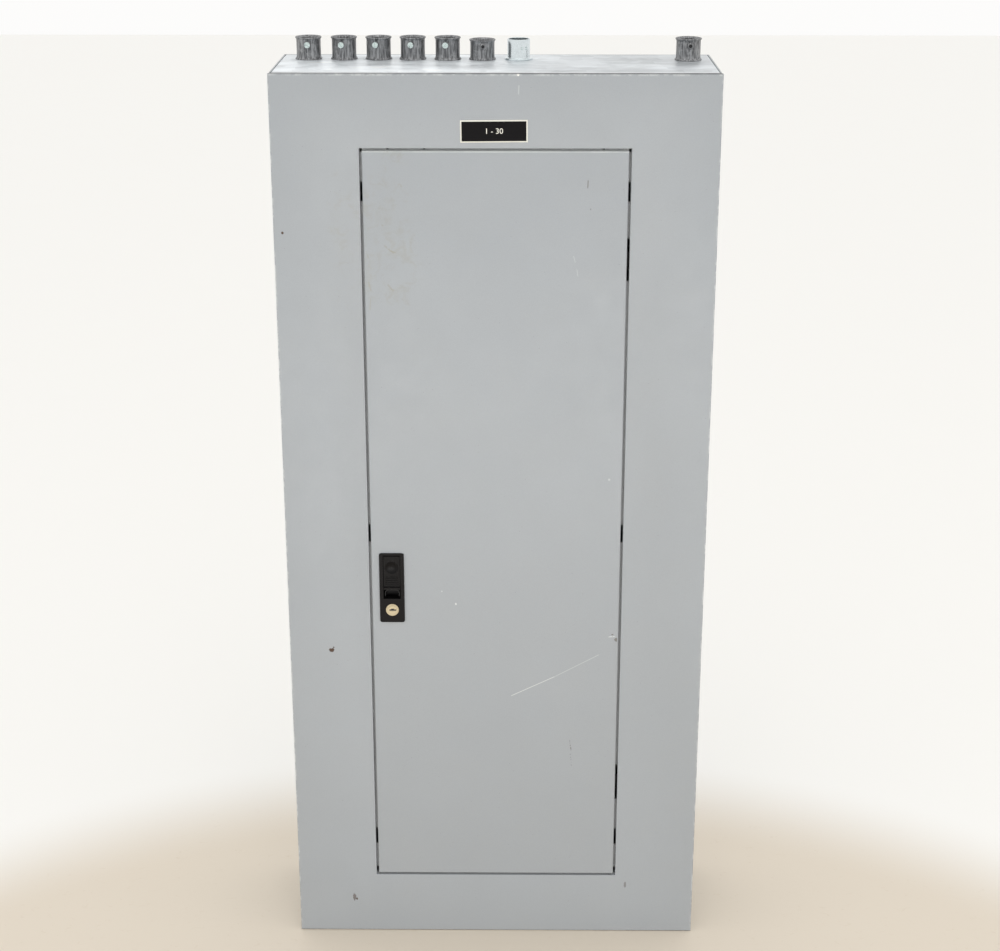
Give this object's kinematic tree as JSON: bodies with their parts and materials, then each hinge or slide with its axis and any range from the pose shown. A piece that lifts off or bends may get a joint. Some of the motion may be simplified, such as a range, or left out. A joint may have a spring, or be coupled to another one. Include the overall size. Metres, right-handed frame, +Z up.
{
  "type": "surface-mounted circuit breaker panel",
  "caption": "Tall galvanised steel breaker panel with a grey trim, a hinged latching door, a breaker interior behind a dead front and conduit connectors on its top end.",
  "frame": {"origin": "centre of the box's bottom face, midway across its width and its depth", "axes": "+Z up along the box's height, +Y towards the wall behind it, +X to the right of someone facing the door"},
  "size_m": [0.5128, 0.1587, 1.1446],
  "materials": {
    "galvanised_steel": "dull hot-dip galvanised with a faint spangle",
    "zinc_plated_steel": "zinc plated",
    "bright_screws": "bright zinc plate",
    "trim_enamel": "light grey baked enamel, worn and stained",
    "door_enamel": "light grey baked enamel, scratched",
    "hinge_steel": "phosphated and painted grey",
    "latch_plastic": "moulded black, satin",
    "lock_brass": "dull pale brass",
    "nameplate_laminate": "black over white laminate, bevelled edge",
    "directory_steel": "grey enamel",
    "directory_card": "printed card stock",
    "die_cast_zinc": "die-cast zinc, dull and streaked",
    "plated_connector": "bright zinc plate",
    "interior_steel": "galvanised sheet",
    "bus_insulator": "red-brown moulded polyester",
    "bus_copper": "bare copper, slightly tarnished",
    "tinned_aluminium": "tin plated",
    "standoff_plastic": "cream nylon",
    "deadfront_enamel": "light grey enamel",
    "filler_plastic": "black moulding",
    "breaker_plastic": "black thermoset, satin",
    "handle_plastic": "black, polished by use"
  },
  "bodies": {
    "enclosure": {"box_wrap": "galvanised_steel", "back_panel": "galvanised_steel", "top_end_wall": "galvanised_steel", "bottom_end_wall": "galvanised_steel", "end_wall_screws": "zinc_plated_steel", "trim_front": "trim_enamel", "trim_screws": "zinc_plated_steel", "hinge_frame_leaves": "hinge_steel", "hinge_pins": "zinc_plated_steel", "nameplate": "nameplate_laminate", "die_cast_connectors": "die_cast_zinc", "steel_connector": "plated_connector", "connector_set_screws": "bright_screws", "connector_locknuts": "zinc_plated_steel", "interior_pan": "interior_steel", "bus_supports": "bus_insulator", "bus_bar_a": "bus_copper", "bus_bar_b": "bus_copper", "bus_bar_c": "bus_copper", "branch_straps": "bus_copper", "breaker_rails": "interior_steel", "neutral_bar": "tinned_aluminium", "neutral_standoffs": "standoff_plastic", "ground_bar": "tinned_aluminium", "interior_fasteners": "zinc_plated_steel", "deadfront": "deadfront_enamel", "deadfront_posts": "zinc_plated_steel", "deadfront_screws": "zinc_plated_steel", "filler_plates": "filler_plastic", "main_lugs": "tinned_aluminium", "main_breaker_case": "breaker_plastic", "breaker_1_case": "breaker_plastic", "breaker_2_case": "breaker_plastic", "breaker_3_case": "breaker_plastic", "breaker_4_case": "breaker_plastic", "breaker_5_case": "breaker_plastic", "breaker_6_case": "breaker_plastic", "breaker_7_case": "breaker_plastic", "breaker_8_case": "breaker_plastic", "breaker_9_case": "breaker_plastic"},
    "door": {"door": "door_enamel", "hinge_door_leaves": "hinge_steel", "latch_housing": "latch_plastic", "lock_barrel": "lock_brass", "directory_frame": "directory_steel", "directory_card": "directory_card"},
    "latch_slide": {"latch_slide": "latch_plastic"},
    "latch_bolt": {"latch_bolt": "zinc_plated_steel"},
    "lock_core": {"lock_plug": "lock_brass", "lock_cam": "zinc_plated_steel"},
    "main_handle": {"main_breaker_handle": "handle_plastic"},
    "handle_1": {"breaker_1_handle": "handle_plastic"},
    "handle_2": {"breaker_2_handle": "handle_plastic"},
    "handle_3": {"breaker_3_handle": "handle_plastic"},
    "handle_4": {"breaker_4_handle": "handle_plastic"},
    "handle_5": {"breaker_5_handle": "handle_plastic"},
    "handle_6": {"breaker_6_handle": "handle_plastic"},
    "handle_7": {"breaker_7_handle": "handle_plastic"},
    "handle_8": {"breaker_8_handle": "handle_plastic"},
    "handle_9": {"breaker_9_handle": "handle_plastic"}
  },
  "joints": [
    {"name": "door_swing", "type": "hinge", "parent": "enclosure", "child": "door", "pos_m": [0.1625, -0.0765, 0.5588], "axis": [0, 0, 1], "range_deg": [0, 115]},
    {"name": "latch_slide_travel", "type": "slide", "parent": "door", "child": "latch_slide", "axis": [0, 0, -1], "range_m": [0, 0.01]},
    {"name": "latch_bolt_throw", "type": "slide", "parent": "door", "child": "latch_bolt", "axis": [-1, 0, 0], "range_m": [0, 0.008]},
    {"name": "lock_turn", "type": "hinge", "parent": "door", "child": "lock_core", "pos_m": [-0.127, -0.076, 0.4617], "axis": [0, 1, 0], "range_deg": [0, 90]},
    {"name": "main_toggle", "type": "hinge", "parent": "enclosure", "child": "main_handle", "pos_m": [0, -0.0415, 0.872], "axis": [1, 0, 0], "range_deg": [0, 40]},
    {"name": "breaker_1_toggle", "type": "hinge", "parent": "enclosure", "child": "handle_1", "pos_m": [-0.056, -0.0415, 0.69143], "axis": [0, 0, -1], "range_deg": [0, 40]},
    {"name": "breaker_2_toggle", "type": "hinge", "parent": "enclosure", "child": "handle_2", "pos_m": [-0.056, -0.0415, 0.63428], "axis": [0, 0, -1], "range_deg": [0, 40]},
    {"name": "breaker_3_toggle", "type": "hinge", "parent": "enclosure", "child": "handle_3", "pos_m": [-0.056, -0.0415, 0.57713], "axis": [0, 0, -1], "range_deg": [0, 40]},
    {"name": "breaker_4_toggle", "type": "hinge", "parent": "enclosure", "child": "handle_4", "pos_m": [-0.056, -0.0415, 0.5295], "axis": [0, 0, -1], "range_deg": [0, 40]},
    {"name": "breaker_5_toggle", "type": "hinge", "parent": "enclosure", "child": "handle_5", "pos_m": [-0.056, -0.0415, 0.50093], "axis": [0, 0, -1], "range_deg": [0, 40]},
    {"name": "breaker_6_toggle", "type": "hinge", "parent": "enclosure", "child": "handle_6", "pos_m": [0.056, -0.0415, 0.69143], "axis": [0, 0, 1], "range_deg": [0, 40]},
    {"name": "breaker_7_toggle", "type": "hinge", "parent": "enclosure", "child": "handle_7", "pos_m": [0.056, -0.0415, 0.63428], "axis": [0, 0, 1], "range_deg": [0, 40]},
    {"name": "breaker_8_toggle", "type": "hinge", "parent": "enclosure", "child": "handle_8", "pos_m": [0.056, -0.0415, 0.58665], "axis": [0, 0, 1], "range_deg": [0, 40]},
    {"name": "breaker_9_toggle", "type": "hinge", "parent": "enclosure", "child": "handle_9", "pos_m": [0.056, -0.0415, 0.55808], "axis": [0, 0, 1], "range_deg": [0, 40]}
  ],
  "couplings": [
    {"joint": "latch_bolt_throw", "follows": "latch_slide_travel", "ratio": 0.8}
  ]
}
